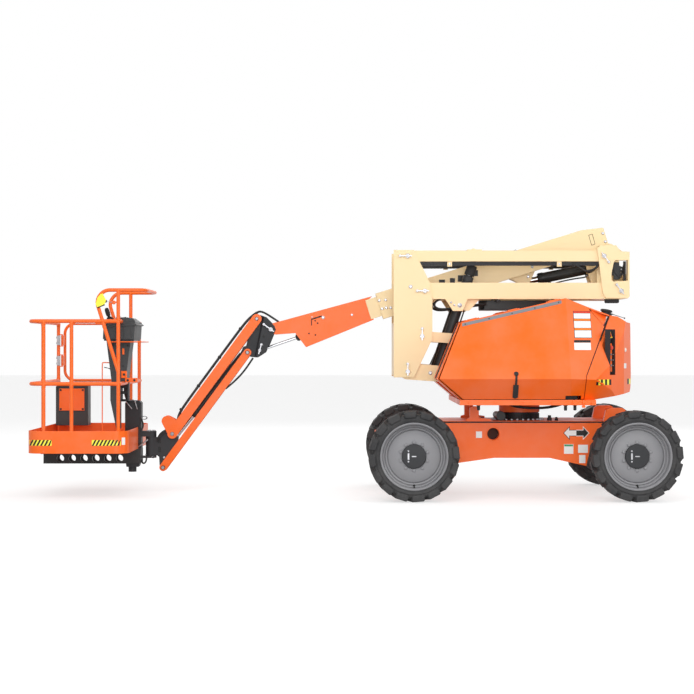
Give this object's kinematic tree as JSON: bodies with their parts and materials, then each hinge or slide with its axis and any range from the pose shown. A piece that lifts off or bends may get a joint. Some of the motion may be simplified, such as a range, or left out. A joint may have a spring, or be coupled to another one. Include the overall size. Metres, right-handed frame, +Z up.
{
  "type": "articulating boom lift",
  "caption": "Wheeled aerial work platform: slewing turntable, folding parallelogram tower, telescopic boom with jib and a railed, rotating platform.",
  "frame": {"origin": "on the floor under the middle of the stowed machine's box", "axes": "+Z up, -X towards the platform, +X towards the steered axle and tail"},
  "size_m": [5.2666, 1.93, 2.2474],
  "materials": {
    "orange_paint": "semi-gloss enamel",
    "cream_paint": "semi-gloss enamel",
    "dark_paint": "satin powder coat",
    "black_paint": "satin",
    "rim_paint": "satin",
    "tyre": "moulded rubber",
    "polished_rod": "ground and chromed",
    "battery_case": "moulded",
    "console_plastic": "moulded"
  },
  "bodies": {
    "chassis": {"chassis": "orange_paint", "drive_axle": "dark_paint", "steer_axle": "dark_paint", "slew_ring": "black_paint"},
    "steering_knuckle_near": {"steering_knuckle_near": "dark_paint"},
    "steering_knuckle_far": {"steering_knuckle_far": "dark_paint"},
    "tie_rod": {"tie_rod": "dark_paint"},
    "turntable": {"turntable": "orange_paint", "hood_frames": "orange_paint", "counterweight": "orange_paint", "battery_packs": "battery_case"},
    "hood_near": {"hood_near": "orange_paint"},
    "hood_far": {"hood_far": "orange_paint"},
    "tower_lower_arm": {"tower_lower_arm": "cream_paint"},
    "tower_lower_link": {"tower_lower_link": "cream_paint"},
    "tower_upright": {"tower_upright": "cream_paint"},
    "tower_upper_arm": {"tower_upper_arm": "cream_paint"},
    "tower_upper_link": {"tower_upper_link": "cream_paint", "hose_tray": "black_paint"},
    "tower_cylinder_barrels": {"tower_cylinder_barrels": "black_paint"},
    "tower_cylinder_rods": {"tower_cylinder_rods": "polished_rod"},
    "knuckle": {"knuckle": "cream_paint"},
    "base_boom": {"base_boom": "cream_paint"},
    "fly": {"fly_boom": "cream_paint", "fly_nose": "orange_paint"},
    "lift_cylinder_barrel": {"lift_cylinder_barrel": "black_paint"},
    "lift_cylinder_rod": {"lift_cylinder_rod": "polished_rod"},
    "level_cylinder_barrel": {"level_cylinder_barrel": "black_paint"},
    "level_cylinder_rod": {"level_cylinder_rod": "polished_rod"},
    "jib_pivot": {"jib_pivot": "dark_paint"},
    "jib_upper_arm": {"jib_upper_arm": "orange_paint"},
    "jib_lower_arm": {"jib_lower_arm": "orange_paint"},
    "jib_cylinder_barrel": {"jib_cylinder_barrel": "black_paint"},
    "jib_cylinder_rod": {"jib_cylinder_rod": "polished_rod"},
    "jib_end": {"jib_end": "dark_paint"},
    "platform": {"platform_column": "dark_paint", "platform_floor": "orange_paint", "platform_support": "black_paint", "platform_rails": "orange_paint", "control_console": "console_plastic", "storage_box": "console_plastic"},
    "platform_gate": {"platform_gate": "orange_paint"},
    "drive_wheel_near": {"tyre_drive_near": "tyre", "wheel_drive_near": "rim_paint"},
    "steer_wheel_near": {"tyre_steer_near": "tyre", "wheel_steer_near": "rim_paint"},
    "drive_wheel_far": {"tyre_drive_far": "tyre", "wheel_drive_far": "rim_paint"},
    "steer_wheel_far": {"tyre_steer_far": "tyre", "wheel_steer_far": "rim_paint"}
  },
  "joints": [
    {"name": "drive_wheel_spin_near", "type": "hinge", "parent": "chassis", "child": "drive_wheel_near", "pos_m": [0.48729, -0.84, 0.365], "axis": [0, 1, 0], "continuous": true},
    {"name": "drive_wheel_spin_far", "type": "hinge", "parent": "chassis", "child": "drive_wheel_far", "pos_m": [0.48729, 0.84, 0.365], "axis": [0, 1, 0], "continuous": true},
    {"name": "steer_near", "type": "hinge", "parent": "chassis", "child": "steering_knuckle_near", "pos_m": [2.26829, -0.64, 0.365], "axis": [0, 0, 1], "range_deg": [-35, 35]},
    {"name": "steer_far", "type": "hinge", "parent": "chassis", "child": "steering_knuckle_far", "pos_m": [2.26829, 0.64, 0.365], "axis": [0, 0, 1], "range_deg": [-36, 36]},
    {"name": "tie_rod_shift", "type": "slide", "parent": "chassis", "child": "tie_rod", "axis": [0, 1, 0], "range_m": [-0.08804, 0.08804]},
    {"name": "steer_wheel_spin_near", "type": "hinge", "parent": "steering_knuckle_near", "child": "steer_wheel_near", "pos_m": [2.26829, -0.84, 0.365], "axis": [0, 1, 0], "continuous": true},
    {"name": "steer_wheel_spin_far", "type": "hinge", "parent": "steering_knuckle_far", "child": "steer_wheel_far", "pos_m": [2.26829, 0.84, 0.365], "axis": [0, 1, 0], "continuous": true},
    {"name": "turntable_swing", "type": "hinge", "parent": "chassis", "child": "turntable", "pos_m": [1.40229, 0, 0.7], "axis": [0, 0, 1], "range_deg": [-177.5, 177.5]},
    {"name": "hood_near_open", "type": "hinge", "parent": "turntable", "child": "hood_near", "pos_m": [0.86129, -0.6, 1.434], "axis": [-0.9743, 0, -0.2252], "range_deg": [0, 70]},
    {"name": "hood_far_open", "type": "hinge", "parent": "turntable", "child": "hood_far", "pos_m": [0.86129, 0.6, 1.434], "axis": [0.9743, 0, 0.2252], "range_deg": [0, 70]},
    {"name": "tower_lift", "type": "hinge", "parent": "turntable", "child": "tower_lower_arm", "pos_m": [2.08829, 0, 0.92], "axis": [0, 1, 0], "range_deg": [0, 70]},
    {"name": "tower_lower_link_pivot", "type": "hinge", "parent": "turntable", "child": "tower_lower_link", "pos_m": [2.20829, 0, 1.214], "axis": [0, 1, 0], "range_deg": [-1, 71]},
    {"name": "tower_upright_level", "type": "hinge", "parent": "tower_lower_arm", "child": "tower_upright", "pos_m": [0.45827, 0, 1.03398], "axis": [0, 1, 0], "range_deg": [-71, 1]},
    {"name": "tower_upper_arm_pivot", "type": "hinge", "parent": "tower_upright", "child": "tower_upper_arm", "pos_m": [0.45827, 0, 1.99698], "axis": [0, 1, 0], "range_deg": [-71, 1]},
    {"name": "tower_upper_link_pivot", "type": "hinge", "parent": "tower_upright", "child": "tower_upper_link", "pos_m": [0.60127, 0, 1.70598], "axis": [0, 1, 0], "range_deg": [-71, 1]},
    {"name": "knuckle_level", "type": "hinge", "parent": "tower_upper_arm", "child": "knuckle", "pos_m": [2.09227, 0, 1.99698], "axis": [0, 1, 0], "range_deg": [-1, 71]},
    {"name": "tower_cylinder_pivot", "type": "hinge", "parent": "tower_lower_arm", "child": "tower_cylinder_barrels", "pos_m": [0.69569, 0, 1.01738], "axis": [0, 1, 0], "range_deg": [-84.46, 1]},
    {"name": "tower_cylinder_stroke", "type": "slide", "parent": "tower_cylinder_barrels", "child": "tower_cylinder_rods", "axis": [0.3229, 0, 0.9464], "range_m": [-0.005, 0.721]},
    {"name": "main_boom_lift", "type": "hinge", "parent": "knuckle", "child": "base_boom", "pos_m": [2.16527, 0, 2.05198], "axis": [0, 1, 0], "range_deg": [0, 90]},
    {"name": "lift_cylinder_pivot", "type": "hinge", "parent": "knuckle", "child": "lift_cylinder_barrel", "pos_m": [2.03527, 0, 1.90998], "axis": [0, 1, 0], "range_deg": [-1, 93.89]},
    {"name": "lift_cylinder_stroke", "type": "slide", "parent": "lift_cylinder_barrel", "child": "lift_cylinder_rod", "axis": [-0.9797, 0, -0.2005], "range_m": [-0.005, 0.27496]},
    {"name": "boom_telescope", "type": "slide", "parent": "base_boom", "child": "fly", "axis": [-0.9548, 0, -0.2974], "range_m": [0, 1.22]},
    {"name": "platform_level", "type": "hinge", "parent": "fly", "child": "jib_pivot", "pos_m": [-0.69355, 0, 1.38779], "axis": [0, 1, 0], "range_deg": [-91, 1]},
    {"name": "level_cylinder_pivot", "type": "hinge", "parent": "fly", "child": "level_cylinder_barrel", "pos_m": [-0.09712, 0, 1.44683], "axis": [0, 1, 0], "range_deg": [-2, 1]},
    {"name": "level_cylinder_stroke", "type": "slide", "parent": "level_cylinder_barrel", "child": "level_cylinder_rod", "axis": [-0.9457, 0, -0.3251], "range_m": [-0.28884, 0.005]},
    {"name": "jib_lift", "type": "hinge", "parent": "jib_pivot", "child": "jib_upper_arm", "pos_m": [-0.81255, 0, 1.47679], "axis": [0, 1, 0], "range_deg": [-6.3, 137.7]},
    {"name": "jib_lower_arm_pivot", "type": "hinge", "parent": "jib_pivot", "child": "jib_lower_arm", "pos_m": [-0.89155, 0, 1.19179], "axis": [0, 1, 0], "range_deg": [-7.3, 138.7]},
    {"name": "jib_end_level", "type": "hinge", "parent": "jib_upper_arm", "child": "jib_end", "pos_m": [-1.52829, 0, 0.50243], "axis": [0, 1, 0], "range_deg": [-138.7, 7.3]},
    {"name": "jib_cylinder_pivot", "type": "hinge", "parent": "jib_pivot", "child": "jib_cylinder_barrel", "pos_m": [-0.90755, 0, 1.21579], "axis": [0, 1, 0], "range_deg": [-7.45, 142.05]},
    {"name": "jib_cylinder_stroke", "type": "slide", "parent": "jib_cylinder_barrel", "child": "jib_cylinder_rod", "axis": [-0.6224, 0, -0.7827], "range_m": [-0.02588, 0.46129]},
    {"name": "platform_rotate", "type": "hinge", "parent": "jib_end", "child": "platform", "pos_m": [-1.71429, 0, 0.50243], "axis": [0, 0, 1], "range_deg": [-90, 90]},
    {"name": "platform_gate_open", "type": "hinge", "parent": "platform", "child": "platform_gate", "pos_m": [-2.57999, 0.6487, 0.94], "axis": [0, 0, -1], "range_deg": [0, 90]}
  ],
  "couplings": [
    {"joint": "steer_far", "follows": "steer_near", "ratio": 1},
    {"joint": "tie_rod_shift", "follows": "steer_near", "m_per_rad": -0.14084},
    {"joint": "tower_lower_link_pivot", "follows": "tower_lift", "ratio": 1},
    {"joint": "tower_upright_level", "follows": "tower_lift", "ratio": -1},
    {"joint": "tower_upper_arm_pivot", "follows": "tower_lift", "ratio": -1},
    {"joint": "tower_upper_link_pivot", "follows": "tower_lift", "ratio": -1},
    {"joint": "knuckle_level", "follows": "tower_lift", "ratio": 1},
    {"joint": "tower_cylinder_pivot", "follows": "tower_lift", "ratio": -1.1923},
    {"joint": "tower_cylinder_stroke", "follows": "tower_lift", "m_per_rad": 0.58605},
    {"joint": "lift_cylinder_pivot", "follows": "main_boom_lift", "ratio": 1.0321},
    {"joint": "lift_cylinder_stroke", "follows": "main_boom_lift", "m_per_rad": 0.17186},
    {"joint": "platform_level", "follows": "main_boom_lift", "ratio": -1},
    {"joint": "level_cylinder_pivot", "follows": "main_boom_lift", "ratio": -0.0111},
    {"joint": "level_cylinder_stroke", "follows": "main_boom_lift", "m_per_rad": -0.1807},
    {"joint": "jib_lower_arm_pivot", "follows": "jib_lift", "ratio": 1},
    {"joint": "jib_end_level", "follows": "jib_lift", "ratio": -1},
    {"joint": "jib_cylinder_pivot", "follows": "jib_lift", "ratio": 1.0243},
    {"joint": "jib_cylinder_stroke", "follows": "jib_lift", "m_per_rad": 0.18986}
  ]
}
